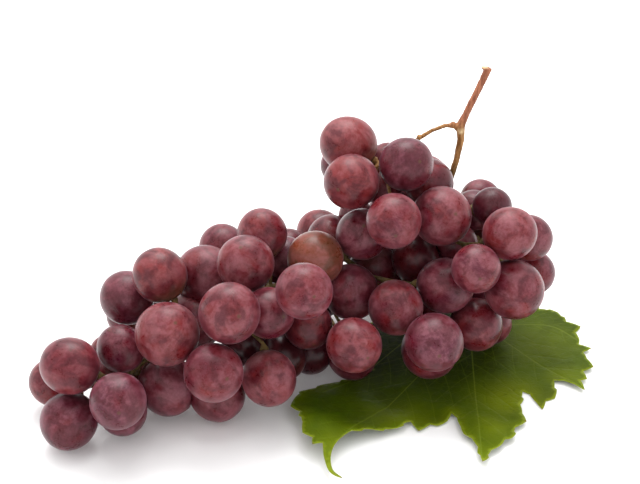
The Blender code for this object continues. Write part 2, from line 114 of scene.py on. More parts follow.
# Looks of the berries that show, and of those deep between them: ripeness (0 bright red, 1 blue-purple),
# darkness (0 pale, 1 dark, and above 0.75 painted shade that darkens the berries deep inside the bunch all
# over), bloom (pale dust) and green (unripe patch at the stem end, and above 0.85 all over).
TONES = {
    "tail_01": (0.40, 0.60, 0.20, 0.0),
    "tail_02": (0.35, 0.45, 0.20, 0.0),
    "tail_03": (0.85, 0.70, 0.55, 0.0),
    "tail_04": (0.85, 0.60, 0.60, 0.0),
    "tail_05": (0.90, 0.60, 0.50, 0.0),
    "tail_06": (0.75, 0.60, 0.40, 0.0),
    "lower_01": (0.22, 0.05, 0.45, 0.2),
    "lower_02": (0.80, 0.75, 0.45, 0.0),
    "lower_03": (0.15, 0.45, 0.15, 0.5),
    "lower_04": (0.55, 0.30, 0.60, 0.0),
    "lower_05": (0.45, 0.35, 0.45, 0.3),
    "lower_07_a": (0.55, 0.50, 0.55, 0.0),
    "lower_07_b": (0.45, 0.40, 0.50, 0.0),
    "lower_08_a": (0.45, 1.00, 0.10, 0.0),
    "lower_08_b": (0.45, 1.00, 0.10, 0.0),
    "middle_01": (0.25, 0.45, 0.45, 0.1),
    "middle_02": (0.35, 0.30, 0.40, 0.1),
    "middle_03": (0.30, 0.25, 0.45, 0.8),
    "middle_04": (0.10, 0.45, 0.20, 1.0),
    "middle_05": (0.45, 0.30, 0.55, 0.0),
    "middle_06": (0.60, 0.50, 0.30, 0.0),
    "middle_07": (0.70, 0.50, 0.50, 0.0),
    "middle_08": (0.20, 0.30, 0.40, 0.4),
    "middle_09_a": (0.50, 0.40, 0.50, 0.0),
    "middle_09_b": (0.45, 0.40, 0.50, 0.0),
    "middle_10": (0.20, 0.88, 0.25, 0.4),
    "middle_12_a": (0.45, 0.95, 0.10, 0.0),
    "middle_13_a": (0.70, 0.45, 0.60, 0.0),
    "middle_14_b": (0.45, 1.00, 0.10, 0.0),
    "middle_15_a": (0.45, 0.95, 0.10, 0.0),
    "middle_15_b": (0.55, 0.60, 0.45, 0.0),
    "wing_01": (0.35, 0.30, 0.50, 0.0),
    "wing_02": (0.35, 0.20, 0.50, 0.0),
    "wing_03": (0.15, 0.50, 0.20, 0.3),
    "wing_04": (0.80, 0.75, 0.45, 0.0),
    "wing_05": (0.50, 0.70, 0.20, 0.0),
    "wing_06_a": (0.80, 0.75, 0.30, 0.0),
    "wing_06_b": (0.08, 0.05, 0.25, 0.2),
    "shoulder_01": (0.10, 0.35, 0.25, 0.3),
    "shoulder_02": (0.60, 0.45, 0.50, 0.0),
    "shoulder_03": (0.75, 0.85, 0.30, 0.0),
    "shoulder_04": (0.25, 0.20, 0.50, 0.0),
    "shoulder_05": (0.45, 0.40, 0.50, 0.0),
    "shoulder_06": (0.50, 0.40, 0.50, 0.0),
    "shoulder_07": (0.45, 0.45, 0.45, 0.0),
    "shoulder_08": (0.50, 0.55, 0.35, 0.0),
    "shoulder_09": (0.70, 0.55, 0.40, 0.0),
    "shoulder_10": (0.35, 0.35, 0.50, 0.2),
    "shoulder_11": (0.75, 0.50, 0.70, 0.0),
    "shoulder_13": (0.45, 0.50, 0.30, 0.0),
    "shoulder_17_a": (0.45, 0.88, 0.10, 0.0),
    "shoulder_17_b": (0.45, 0.88, 0.10, 0.0),
}


# ---------------------------------------------------------------- materials


class Nodes:
    """Short ways to add nodes to a material and to join them."""

    def __init__(self, name):
        self.material = bpy.data.materials.new(name)
        self.material.use_nodes = True
        self.tree = self.material.node_tree
        self.shader = self.tree.nodes["Principled BSDF"]

    def add(self, kind, inputs=(), **settings):
        node = self.tree.nodes.new(kind)
        for key, value in settings.items():
            setattr(node, key, value)
        for key, value in dict(inputs).items():
            self.set(node.inputs[key], value)
        return node

    def set(self, socket, value):
        if isinstance(value, bpy.types.NodeSocket):
            self.tree.links.new(value, socket)
        else:
            socket.default_value = value

    def read(self, name):
        return self.add("ShaderNodeAttribute", attribute_name=name)

    def noise(self, vector, scale, detail=3.0, rough=0.55, distortion=0.0):
        values = {"Vector": vector, "Scale": scale, "Detail": detail}
        values.update({"Roughness": rough, "Distortion": distortion})
        return self.add("ShaderNodeTexNoise", values).outputs["Fac"]

    def cells(self, vector, scale, feature):
        """Distance to the middle (F1) or to the edge of the cell that each place lies in."""
        values = {"Vector": vector, "Scale": scale}
        return self.add("ShaderNodeTexVoronoi", values, feature=feature).outputs["Distance"]

    def parts(self, vector):
        """The three parts of a vector."""
        return self.add("ShaderNodeSeparateXYZ", {0: vector}).outputs

    def math(self, operation, first, second=0.0, clamp=False):
        values = {0: first, 1: second}
        return self.add("ShaderNodeMath", values, operation=operation, use_clamp=clamp).outputs[0]

    def times(self, first, second, clamp=False):
        return self.math("MULTIPLY", first, second, clamp)

    def ramp(self, value, low, high, out_low=0.0, out_high=1.0):
        values = {"Value": value, 1: low, 2: high, 3: out_low, 4: out_high}
        node = self.add("ShaderNodeMapRange", values, interpolation_type="SMOOTHSTEP")
        return node.outputs["Result"]

    def mix(self, share, first, second, blend="MIX"):
        node = self.add("ShaderNodeMix", data_type="RGBA", blend_type=blend)
        self.set(node.inputs["Factor"], share)
        self.set(node.inputs[6], first)
        self.set(node.inputs[7], second)
        return node.outputs[2]

    def shift(self, vector, amount):
        """The same place moved along, so that a second noise differs from the first."""
        values = {0: vector, 1: (amount, amount * 0.7, -amount)}
        return self.add("ShaderNodeVectorMath", values, operation="ADD").outputs[0]

    def grey(self, value):
        return self.add("ShaderNodeCombineColor", {0: value, 1: value, 2: value}).outputs[0]

    def bump(self, height, strength, distance):
        values = {"Height": height, "Strength": strength, "Distance": distance}
        return self.add("ShaderNodeBump", values).outputs["Normal"]

    def surface(self, **values):
        for key, value in values.items():
            self.set(self.shader.inputs[key.replace("_", " ")], value)


def colour(red, green, blue):
    return (red, green, blue, 1.0)


def berry_material():
    """Thin skin over red to purple flesh, mottled, dusted with bloom, with specks and small scars.

    The berries deep inside the bunch, marked by their high darkness value, get painted shade: they are darker
    all over.
    """
    n = Nodes("berry_skin")
    place = n.read("place").outputs["Vector"]
    ripeness, darkness_and_shade, bloom = n.parts(n.read("tone").outputs["Vector"])
    green, stem_end, far_end = n.parts(n.read("ends").outputs["Vector"])
    broad = n.noise(place, 1.0, 2.0, 0.5, 0.5)
    blotch = n.noise(n.shift(place, 17.0), 1.5, 4.0, 0.55, 0.6)
    cloud = n.noise(n.shift(place, 31.0), 1.25, 5.0, 0.6, 0.7)
    fine = n.noise(place, 8.0, 5.0, 0.7)
    grain = n.noise(place, 38.0, 2.0, 0.7)
    shifted = n.math("ADD", ripeness, n.times(n.math("SUBTRACT", broad, 0.5), 1.6), clamp=True)
    flesh = n.mix(shifted, colour(0.166, 0.013, 0.012), colour(0.080, 0.008, 0.020))
    pale = n.times(n.ramp(cloud, 0.42, 0.66), n.math("SUBTRACT", 1.0, darkness_and_shade))
    flesh = n.mix(n.times(pale, 0.60), flesh, colour(0.285, 0.082, 0.070))
    dark = n.times(n.ramp(n.math("ADD", blotch, n.times(darkness_and_shade, 0.16)), 0.47, 0.70), 0.80)
    flesh = n.mix(dark, flesh, colour(0.058, 0.003, 0.007))
    patch = n.times(n.ramp(n.math("ADD", stem_end, n.times(cloud, 0.5)), 0.50, 1.10), green)
    patch = n.math("MAXIMUM", patch, n.ramp(green, 0.85, 1.0, 0.0, 0.26))
    flesh = n.mix(n.times(patch, 0.8), flesh, colour(0.19, 0.125, 0.030))
    dust = n.ramp(n.math("ADD", n.times(cloud, 0.75), n.times(fine, 0.35)), 0.42, 0.70)
    dust = n.times(dust, n.math("ADD", 0.30, bloom))
    dust = n.times(dust, n.ramp(grain, 0.30, 0.65, 0.72, 1.0))
    dust = n.times(dust, n.math("SUBTRACT", 1.0, n.times(dark, 0.75)))
    skin = n.mix(n.times(dust, 0.56, clamp=True), flesh, colour(0.235, 0.096, 0.135))
    # Painted shade: the berries deep inside the bunch are darker all over.
    skin = n.mix(1.0, skin, n.grey(n.ramp(darkness_and_shade, 0.75, 1.0, 1.0, 0.42)), "MULTIPLY")
    mottle = n.ramp(fine, 0.30, 0.70, 0.86, 1.11)
    skin = n.mix(1.0, skin, n.grey(mottle), "MULTIPLY")
    specks = n.cells(place, 12.0, "F1")
    skin = n.mix(n.ramp(specks, 0.03, 0.11, 0.34, 0.0), skin, colour(0.36, 0.19, 0.16))
    scars = n.cells(place, 1.6, "F1")
    marks = n.times(n.ramp(scars, 0.03, 0.085, 1.0, 0.0), n.ramp(fine, 0.42, 0.55))
    skin = n.mix(n.times(marks, 0.7), skin, colour(0.075, 0.024, 0.012))
    skin = n.mix(n.ramp(far_end, 0.35, 0.9, 0.0, 0.8), skin, colour(0.085, 0.038, 0.018))
    skin = n.mix(n.ramp(stem_end, 0.90, 1.0, 0.0, 0.6), skin, colour(0.15, 0.11, 0.04))
    gloss = n.math("ADD", 0.27, n.times(dust, 0.30))
    relief = n.math("ADD", n.times(fine, 0.5), n.times(grain, 0.22))
    relief = n.math("SUBTRACT", relief, n.times(marks, 0.5))
    n.surface(
        Base_Color=skin,
        Roughness=gloss,
        Normal=n.bump(relief, 0.12, 0.00025),
        Sheen_Weight=0.06,
        Sheen_Roughness=0.35,
        Sheen_Tint=colour(0.80, 0.66, 0.84),
        Subsurface_Weight=0.16,
        Subsurface_Radius=(0.004, 0.0012, 0.0010),
        Subsurface_Scale=1.0,
        IOR=1.40,
        Specular_IOR_Level=0.38,
    )
    return n.material


def stem_material():
    """Dry bark: red-brown on the cut stalk, tan on the side branch, olive on the small stalks."""
    n = Nodes("stem_bark")
    place = n.add("ShaderNodeTexCoord").outputs["Object"]
    red, tan, cut = n.parts(n.read("tone").outputs["Vector"])
    drawn_out = n.add("ShaderNodeMapping", {"Vector": place, "Scale": (900.0, 900.0, 130.0)}).outputs[0]
    streaks = n.noise(drawn_out, 1.0, 4.0, 0.65, 0.3)
    spots = n.noise(place, 700.0, 3.0, 0.6)
    patches = n.noise(place, 170.0, 3.0, 0.6)
    green = n.mix(n.ramp(patches, 0.35, 0.65), colour(0.070, 0.048, 0.012), colour(0.165, 0.105, 0.032))
    brown = n.mix(n.ramp(streaks, 0.35, 0.70), colour(0.20, 0.060, 0.026), colour(0.40, 0.150, 0.075))
    ochre = n.mix(n.ramp(streaks, 0.35, 0.65), colour(0.20, 0.085, 0.022), colour(0.45, 0.23, 0.080))
    bark = n.mix(tan, green, ochre)
    bark = n.mix(red, bark, brown)
    bark = n.mix(n.ramp(spots, 0.60, 0.72, 0.0, 0.55), bark, colour(0.06, 0.028, 0.012))
    wood = n.mix(n.ramp(spots, 0.35, 0.65), colour(0.50, 0.33, 0.16), colour(0.72, 0.54, 0.30))
    bark = n.mix(cut, bark, wood)
    crust = n.mix(n.ramp(patches, 0.35, 0.65), colour(0.045, 0.028, 0.010), colour(0.15, 0.095, 0.030))
    bark = n.mix(n.times(n.read("cushion").outputs["Fac"], 0.85), bark, crust)
    relief = n.math("ADD", n.times(streaks, 0.7), n.times(spots, 0.4))
    n.surface(
        Base_Color=bark,
        Roughness=n.ramp(spots, 0.3, 0.7, 0.5, 0.75),
        Normal=n.bump(relief, 0.5, 0.0003),
        IOR=1.4,
    )
    return n.material


def leaf_material():
    """Green blade with painted shade that makes it darkest near its middle, under the bunch, with pale veins,
    a net of fine ones and a yellow rim.
    """
    n = Nodes("leaf_blade")
    place = n.add("ShaderNodeTexCoord").outputs["Object"]
    vein, rim, tooth = n.parts(n.read("marks").outputs["Vector"])
    young = n.read("young").outputs["Fac"]
    broad = n.noise(place, 38.0, 3.0, 0.55, 0.5)
    fine = n.noise(place, 420.0, 4.0, 0.65)
    small = n.cells(place, 520.0, "DISTANCE_TO_EDGE")
    large = n.cells(place, 170.0, "DISTANCE_TO_EDGE")
    net = n.math("MAXIMUM", n.ramp(small, 0.10, 0.0, 0.0, 0.35), n.ramp(large, 0.07, 0.0, 0.0, 0.7))
    blade = n.mix(n.ramp(broad, 0.3, 0.7), colour(0.023, 0.040, 0.0003), colour(0.044, 0.071, 0.0004))
    young = n.times(young, n.ramp(broad, 0.2, 0.8, 0.7, 1.0))
    blade = n.mix(young, blade, colour(0.150, 0.185, 0.0008))
    x, y, _ = n.parts(place)
    # Painted shade: the blade is darker near its middle, where the bunch lies over it.
    painted_shade_under_bunch = n.times(n.ramp(y, -0.030, 0.018), n.ramp(x, 0.072, 0.088, 1.0, 0.0))
    blade = n.mix(n.times(painted_shade_under_bunch, 0.65), blade, colour(0.007, 0.011, 0.0002))
    blade = n.mix(n.times(net, 0.30), blade, colour(0.080, 0.110, 0.004))
    blade = n.mix(n.ramp(fine, 0.60, 0.72, 0.0, 0.45), blade, colour(0.020, 0.028, 0.001))
    blade = n.mix(n.times(vein, 0.60), blade, colour(0.15, 0.19, 0.022))
    blade = n.mix(n.times(rim, 0.65), blade, colour(0.24, 0.27, 0.02))
    blade = n.mix(n.times(tooth, 0.9), blade, colour(0.11, 0.035, 0.012))
    relief = n.math("SUBTRACT", n.times(fine, 0.3), n.times(net, 0.6))
    n.surface(
        Base_Color=blade,
        Roughness=n.ramp(fine, 0.3, 0.7, 0.46, 0.60),
        Normal=n.bump(relief, 0.35, 0.0004),
        Subsurface_Weight=0.5,
        Subsurface_Radius=(0.0012, 0.0016, 0.0002),
        Subsurface_Scale=1.0,
        IOR=1.30,
        Specular_IOR_Level=0.16,
    )
    return n.material


def floor_material():
    n = Nodes("floor")
    n.surface(Base_Color=colour(0.96, 0.96, 0.96), Roughness=0.6)
    return n.material


# ---------------------------------------------------------------- reading the CAD solids


def points_of(name):
    """The corners of a CAD node, each once."""
    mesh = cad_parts[name].data
    flat = np.empty(len(mesh.vertices) * 3, np.float32)
    mesh.vertices.foreach_get("co", flat)
    return np.unique(np.round(flat.reshape(-1, 3).astype(float), 7), axis=0)


def fit_sphere(points):
    """Centre and radius of the sphere nearest to the points."""
    sides = np.column_stack([2 * points, np.ones(len(points))])
    answer, *_ = np.linalg.lstsq(sides, (points**2).sum(1), rcond=None)
    centre = answer[:3]
    return centre, math.sqrt(answer[3] + centre @ centre)


def split_berries(points, count):
    """The corners of the berries that share one solid, as one set for each, in order along X."""
    seeds = [points[points[:, 2].argmax()]]
    while len(seeds) < count:
        gaps = np.min([np.linalg.norm(points - seed, axis=1) for seed in seeds], axis=0)
        seeds.append(points[gaps.argmax()])
    centres = np.array(seeds)
    for _ in range(20):
        owner = np.linalg.norm(points[:, None] - centres[None], axis=2).argmin(1)
        centres = np.array([points[owner == index].mean(0) for index in range(count)])
    for _ in range(8):
        spheres = [fit_sphere(points[owner == index]) for index in range(count)]
        misses = [np.linalg.norm(points - centre, axis=1) - radius for centre, radius in spheres]
        owner = np.abs(misses).argmin(0)
    parts = [points[owner == index] for index in range(count)]
    return sorted(parts, key=lambda part: fit_sphere(part)[0][0])


def read_berries():
    """For each berry: its name, its CAD node, its centre, its half length and its stem direction."""
    stem = points_of("stem")
    berries = []
    for node in sorted(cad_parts):
        if "berr" not in node:
            continue
        points = points_of(node)
        count = {"twin": 2, "trip": 3}.get(node[:4], 1)
        parts = split_berries(points, count) if count > 1 else [points]
        label = node.split("_", 1)[1].replace("berries_", "")
        for letter, part in zip("abc", parts):
            centre = fit_sphere(part)[0] if count > 1 else part.mean(0)
            gaps = np.linalg.norm(part[:, None] - stem[None], axis=2)
            gaps.sort(axis=1)
            pole = part[gaps[:, :5].mean(1).argmin()]
            half = np.linalg.norm(pole - centre)
            name = label + ("_" + letter if count > 1 else "")
            axis = (pole - centre) / half
            berries.append({"name": name, "node": node, "centre": centre, "half": half, "axis": axis})
    return berries


# ---------------------------------------------------------------- berries


def ball_grid(segments, rings):
    """Directions over a ball from its top to its bottom, and the faces that join them."""
    directions = [(0.0, 0.0, 1.0)]
    for ring in range(1, rings):
        tilt = math.pi * ring / rings
        for segment in range(segments):
            turn = 2 * math.pi * segment / segments
            out = math.sin(tilt)
            directions.append((out * math.cos(turn), out * math.sin(turn), math.cos(tilt)))
    directions.append((0.0, 0.0, -1.0))
    last = len(directions) - 1
    faces = []
    for segment in range(segments):
        after = (segment + 1) % segments
        faces.append((0, 1 + segment, 1 + after))
        base = 1 + (rings - 2) * segments
        faces.append((last, base + after, base + segment))
        for ring in range(rings - 2):
            row = 1 + ring * segments
            faces.append((row + segment, row + segments + segment, row + segments + after, row + after))
    return np.array(directions), faces


def make_berry(berry, others, grid, material):
    """One berry: an oval with lumps, a dimple at its stalk, a scar at its far end and flats at contacts."""
    directions, faces = grid
    rng = np.random.RandomState(sum(ord(letter) * (place + 7) for place, letter in enumerate(berry["name"])))
    half = berry["half"] + BERRY_GROWTH + SWOLLEN.get(berry["name"], 0.0) * MM
    width = half * BERRY_WIDTH
    lumps = np.zeros(len(directions))
    for strength, pitch in LUMPS:
        way = rng.normal(size=(3, 3))
        way /= np.linalg.norm(way, axis=1)[:, None]
        lumps += strength * np.cos(directions @ way.T * pitch + rng.uniform(0, 6.28, 3)).mean(1)
    up = directions[:, 2]
    tilt = np.arccos(np.clip(up, -1, 1))
    dimple = -0.035 * np.exp(-((tilt / 0.17) ** 2)) + 0.008 * np.exp(-(((tilt - 0.33) / 0.12) ** 2))
    far = math.pi - tilt
    navel = -0.012 * np.exp(-((far / 0.16) ** 2)) + 0.010 * np.exp(-((far / 0.05) ** 2))
    pear = 1 + 0.02 * rng.uniform(-1, 1) * up
    shape = directions * np.array([width, width, half]) * (1 + lumps + dimple + navel)[:, None]
    shape[:, :2] *= pear[:, None]
    turn = Vector(berry["axis"]).to_track_quat("Z", "Y").to_matrix()
    turn = turn @ Matrix.Rotation(rng.uniform(0, 6.28), 3, "Z")
    points = shape @ np.array(turn).T
    for other in others:
        apart = other["centre"] - berry["centre"]
        distance = np.linalg.norm(apart)
        if distance > half + other["half"] + BERRY_GROWTH + 0.3 * MM:
            continue
        way = apart / distance
        share = half / (half + other["half"] + BERRY_GROWTH)
        wall = distance * share - 0.03 * MM
        past = points @ way - wall
        rounded = np.where(past > -0.5 * MM, (past + 0.5 * MM) ** 2 / (2.2 * MM), 0)
        points -= np.outer(np.minimum(rounded, np.maximum(past, rounded * 0.5)), way)
        past = points @ way - wall
        points -= np.outer(np.maximum(past, 0), way)
    lowest = LEAF_ROOM if over_leaf(berry["centre"]) else FLOOR_ROOM
    height = points[:, 2] + berry["centre"][2]
    points[:, 2] += np.maximum(0, lowest - height)
    mesh = bpy.data.meshes.new("grape_" + berry["name"])
    mesh.from_pydata(points.tolist(), [], faces)
    mesh.materials.append(material)
    mesh.shade_smooth()
    tone = TONES.get(berry["name"])
    if tone is None:
        tone = (rng.uniform(0.3, 0.8), rng.uniform(0.4, 0.7), rng.uniform(0.2, 0.5), rng.uniform(0, 0.3))
    place = directions + rng.uniform(-40, 40, 3)
    put(mesh, "place", "FLOAT_VECTOR", place)
    put(mesh, "tone", "FLOAT_VECTOR", np.tile(tone[:3], (len(directions), 1)))
    stem_end = np.clip(1 - tilt / 1.5, 0, 1)
    far_end = np.clip(1 - far / 0.16, 0, 1)
    put(mesh, "ends", "FLOAT_VECTOR", np.column_stack([np.full(len(up), tone[3]), stem_end, far_end]))
    piece = bpy.data.objects.new("grape_" + berry["name"], mesh)
    bpy.context.scene.collection.objects.link(piece)
    piece.location = Vector(berry["centre"])
    finish_piece(piece, "berry_skin", berry["node"])
    return piece


def put(mesh, name, kind, values):
    """Writes one value or vector for each corner of a mesh."""
    attribute = mesh.attributes.new(name, kind, "POINT")
    field = "vector" if kind == "FLOAT_VECTOR" else "value"
    attribute.data.foreach_set(field, np.asarray(values, np.float32).ravel())


def finish_piece(piece, slot, *nodes):
    """Fixes a piece to the body and hides the CAD solids that it stands for; the finish named by slot is not
    used.
    """
    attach(piece, "root")
    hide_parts(*nodes)


# ---------------------------------------------------------------- stem


def near_line(points, line):
    """Distance from each point to a line through several points."""
    best = np.full(len(points), 1e9)
    for start, end in zip(line[:-1], line[1:]):
        run = end - start
        share = np.clip(((points - start) @ run) / (run @ run), 0, 1)
        best = np.minimum(best, np.linalg.norm(points - start - share[:, None] * run, axis=1))
    return best


class Balls:
    """Gathers small balls, flattened along an axis, into one list of points and faces."""

    def __init__(self):
        self.directions, self.faces_of_one = ball_grid(12, 8)
        self.points = []
        self.faces = []

    def add(self, centre, axis, width, height):
        start = len(self.points) * len(self.directions)
        turn = np.array(Vector(axis).to_track_quat("Z", "Y").to_matrix())
        self.points.append(centre + (self.directions * (width, width, height)) @ turn.T)
        self.faces.extend([start + corner for corner in face] for face in self.faces_of_one)


def make_stem(berries, material):
    """The stem: the CAD stalks made round and knotty, with a swollen warty end at each berry."""
    solid = points_of("stem")
    tip = solid[solid[:, 2].argmax()]
    fork = tip + np.array(FORK_FROM_TIP)
    balls = Balls()
    rng = np.random.RandomState(5)
    poles = []
    for berry in berries:
        pole = berry["centre"] + berry["axis"] * (berry["half"] + BERRY_GROWTH - 0.1 * MM)
        poles.append(pole)
        size = rng.uniform(0.85, 1.15) * MM
        balls.add(pole + berry["axis"] * 0.25 * MM, berry["axis"], 1.8 * size, 0.8 * size)
        balls.add(pole + berry["axis"] * 1.1 * MM, berry["axis"], 1.3 * size, 1.3 * size)
        for _ in range(WARTS_PER_BERRY):
            wart = rng.normal(size=3)
            wart -= wart @ berry["axis"] * berry["axis"]
            wart *= 1.35 * size / np.linalg.norm(wart)
            wart += pole + berry["axis"] * rng.uniform(0.4, 1.0) * MM
            balls.add(wart, (0, 0, 1), 0.45 * size, 0.45 * size)
    along = (tip - fork) / np.linalg.norm(tip - fork)
    balls.add(tip - along * 1.1 * MM + np.array(TIP_SHIFT) * MM, along, 1.85 * MM, 0.7 * MM)
    for place, size in FORK_KNOTS:
        balls.add(fork + np.array(place) * MM, (0, 0, 1), size * MM, size * MM)
    builder = bmesh.new()
    builder.from_mesh(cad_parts["stem"].data)
    bmesh.ops.remove_doubles(builder, verts=builder.verts, dist=1e-6)
    solid_mesh = bpy.data.meshes.new("cad stalks")
    builder.to_mesh(solid_mesh)
    builder.free()
    corners = [vert.co[:] for vert in solid_mesh.vertices]
    faces = [list(polygon.vertices) for polygon in solid_mesh.polygons]
    faces += [[len(corners) + corner for corner in face] for face in balls.faces]
    mesh = bpy.data.meshes.new("stalks")
    mesh.from_pydata(corners + np.vstack(balls.points).tolist(), [], faces)
    piece = bpy.data.objects.new("stalks", mesh)
    bpy.context.scene.collection.objects.link(piece)
    remesh = piece.modifiers.new("even skin", "REMESH")
    remesh.mode = "VOXEL"
    remesh.voxel_size = STEM_VOXEL * MM
    smooth = piece.modifiers.new("soft", "SMOOTH")
    smooth.factor = 0.5
    smooth.iterations = 3
    mesh = bpy.data.meshes.new_from_object(piece.evaluated_get(bpy.context.evaluated_depsgraph_get()))
    piece.modifiers.clear()
    piece.data = mesh
    mesh.name = "stalks"
    mesh.materials.clear()
    mesh.materials.append(material)
    mesh.shade_smooth()
    count = len(mesh.vertices)
    points = np.empty(count * 3, np.float32)
    mesh.vertices.foreach_get("co", points)
    points = points.reshape(-1, 3).astype(float)
    normals = np.empty(count * 3, np.float32)
    mesh.vertex_normals.foreach_get("vector", normals)
    normals = normals.reshape(-1, 3)
    swell = np.empty(count)
    for index, point in enumerate(points):
        spot = Vector(point)
        lengthwise = noise.noise(Vector((spot.x * 1500, spot.y * 1500, spot.z * 160)))
        warts = noise.noise(spot * 900)
        swell[index] = 0.10 + 0.12 * lengthwise + 0.12 * warts
    points += normals * (swell * MM)[:, None]
    mesh.vertices.foreach_set("co", points.astype(np.float32).ravel())
    to_stalk = near_line(points, np.array([tip, fork]))
    red = np.clip((points[:, 2] - fork[2]) / (5 * MM) + 0.4, 0, 1) * np.clip(2 - to_stalk / (3 * MM), 0, 1)
    tan = np.clip((points[:, 2] - (fork[2] - 26 * MM)) / (12 * MM), 0, 1)
    scar = np.linalg.norm(points - fork - np.array(SCAR_FROM_FORK) * MM, axis=1)
    cut_end = np.clip((points[:, 2] - tip[2] + 0.5 * MM) / (0.5 * MM), 0, 1)
    cut = np.maximum(cut_end, np.clip(1.8 - scar / (1.1 * MM), 0, 1))
    cushion = np.full(count, 1e9)
    for pole in poles:
        cushion = np.minimum(cushion, np.linalg.norm(points - pole, axis=1))
    put(mesh, "tone", "FLOAT_VECTOR", np.column_stack([red, tan, cut]))
    put(mesh, "cushion", "FLOAT", np.clip(1.6 - cushion / (1.7 * MM), 0, 1))
    finish_piece(piece, "stem_bark", "stem")
    return piece


# ---------------------------------------------------------------- leaf

LEAF_CENTRE = (0.06775, 0.0405)  # where the main veins meet, in metres

# Where each main vein and the curled tip run from there, in millimetres.
MAIN_VEINS = [
    [(0, 0), (-1, -26), (-2, -60), (-3, -104)],
    [(0, 0), (14, -18), (27, -36), (43, -56)],
    [(0, 0), (-20, -36), (-38, -66), (-54, -90), (-62, -104), (-61, -114)],
    [(0, 0), (18, -4), (36, -6), (48, -20)],
    [(0, 0), (-24, -12), (-46, -40), (-66, -62)],
    [(0, 0), (12, 14), (20, 26)],
    [(0, 0), (-12, 16), (-20, 24)],
]
CURLED_TIP = [
    (-54.3, -92.5), (-57.2, -95.4), (-60.0, -99.2), (-62.0, -104.0), (-62.8, -109.0), (-62.0, -114.0),
    (-58.4, -118.3), (-61.8, -116.6), (-64.3, -113.0), (-65.6, -107.0), (-65.9, -101.0),
]
# Yellower parts of the blade: x, y from there, size in millimetres, and how strong.
YOUNG_SPOTS = [
    (14, -62, 15, 0.9),
    (4, -86, 13, 0.6),
    (-34, -82, 16, 0.6),
    (38, -48, 12, 0.55),
    (-60, -104, 14, 0.8),
    (30, -20, 22, 0.4),
]
LEAF_SPACING = 1.5 * MM
BLADE_THICKNESS = 0.3 * MM


def over_leaf(centre):
    low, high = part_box("leaf")
    return low.x - 4 * MM < centre[0] < high.x + 4 * MM and low.y - 4 * MM < centre[1] < high.y + 4 * MM


def leaf_rim():
    """The rim of the CAD leaf's upper face, in order, as x and y."""
    builder = bmesh.new()
    builder.from_mesh(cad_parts["leaf"].data)
    bmesh.ops.remove_doubles(builder, verts=builder.verts, dist=1e-6)
    upper = {face for face in builder.faces if face.normal.z > 0.35}
    joined = {}
    for edge in builder.edges:
        if sum(face in upper for face in edge.link_faces) == 1:
            first, second = edge.verts
            joined.setdefault(first, []).append(second)
            joined.setdefault(second, []).append(first)
    start = min(joined, key=lambda vert: vert.index)
    ring = [start]
    before = None
    while len(ring) <= len(joined):
        here = ring[-1]
        following = [vert for vert in joined[here] if vert is not before]
        before = here
        if following[0] is start:
            break
        ring.append(following[0])
    rim = np.array([vert.co[:2] for vert in ring])
    builder.free()
    turns = rim[:, 0] * np.roll(rim[:, 1], -1) - rim[:, 1] * np.roll(rim[:, 0], -1)
    return rim if turns.sum() < 0 else rim[::-1]


def curl_tip(rim):
    """The rim with the slender curled tip in place of the CAD leaf's blunt one, and that tip's point count."""
    near = rim - np.array(LEAF_CENTRE)
    tip = (near[:, 0] > -67.5 * MM) & (near[:, 0] < -53 * MM) & (near[:, 1] < -93 * MM)
    first = np.where(tip & ~np.roll(tip, 1))[0][0]
    rim = np.roll(rim, -first, axis=0)
    rest = rim[~np.roll(tip, -first)]
    curve = smooth_line(np.array(CURLED_TIP) * MM + np.array(LEAF_CENTRE), 5)
    return np.vstack([curve, rest]), len(curve)


def fine_rim(rim, soft):
    """The rim with a tooth on each long edge and each edge slightly bowed, and all its sharp tips.

    The first points, as many as soft says, belong to the curled tip and stay smooth.
    """
    corners = []
    count = len(rim)
    for index in range(count):
        corners.append(rim[index])
        run = rim[(index + 1) % count] - rim[index]
        length = np.linalg.norm(run)
        if index >= soft and length > 8.0 * MM:
            out = np.array([-run[1], run[0]]) / length
            corners.append(rim[index] + run * 0.42 + out * 0.1 * MM)
            corners.append(rim[index] + run * 0.56 + out * 1.1 * MM)
    fine = []
    count = len(corners)
    for index in range(count):
        run = corners[(index + 1) % count] - corners[index]
        side = np.array([-run[1], run[0]])
        steps = max(1, int(np.linalg.norm(run) / (1.0 * MM)))
        for step in range(steps):
            share = step / steps
            bow = 0.03 * math.sin(math.pi * share) if index >= soft else 0.0
            fine.append(corners[index] + run * share + side * bow)
    sharp = [corners[index] for index in range(count) if points_out(corners, index)]
    return np.array(fine), np.array(sharp)


def points_out(corners, index):
    """Whether the rim, which runs clockwise, comes to a sharp outward corner here."""
    before = corners[index - 1] - corners[index]
    after = corners[(index + 1) % len(corners)] - corners[index]
    cosine = before @ after / (np.linalg.norm(before) * np.linalg.norm(after))
    return before[0] * after[1] - before[1] * after[0] > 0 and cosine > -0.5


def smooth_line(points, steps):
    """Points read from a smooth curve through the given ones."""
    padded = np.vstack([2 * points[0] - points[1], points, 2 * points[-1] - points[-2]])
    read = []
    for index in range(1, len(padded) - 2):
        a, b, c, d = padded[index - 1 : index + 3]
        for step in range(steps):
            t = step / steps
            bend = (2 * a - 5 * b + 4 * c - d) * t * t + (3 * b - a - 3 * c + d) * t**3
            read.append(0.5 * (2 * b + (c - a) * t + bend))
    read.append(points[-1])
    return np.array(read)


def along_line(line, distance):
    """The place and the direction at a distance along a line."""
    for start, end in zip(line[:-1], line[1:]):
        run = np.linalg.norm(end - start)
        if distance <= run:
            return start + (end - start) * distance / run, (end - start) / run
        distance -= run
    return line[-1], (line[-1] - line[-2]) / np.linalg.norm(line[-1] - line[-2])


def line_length(line):
    return np.linalg.norm(np.diff(line, axis=0), axis=1).sum()


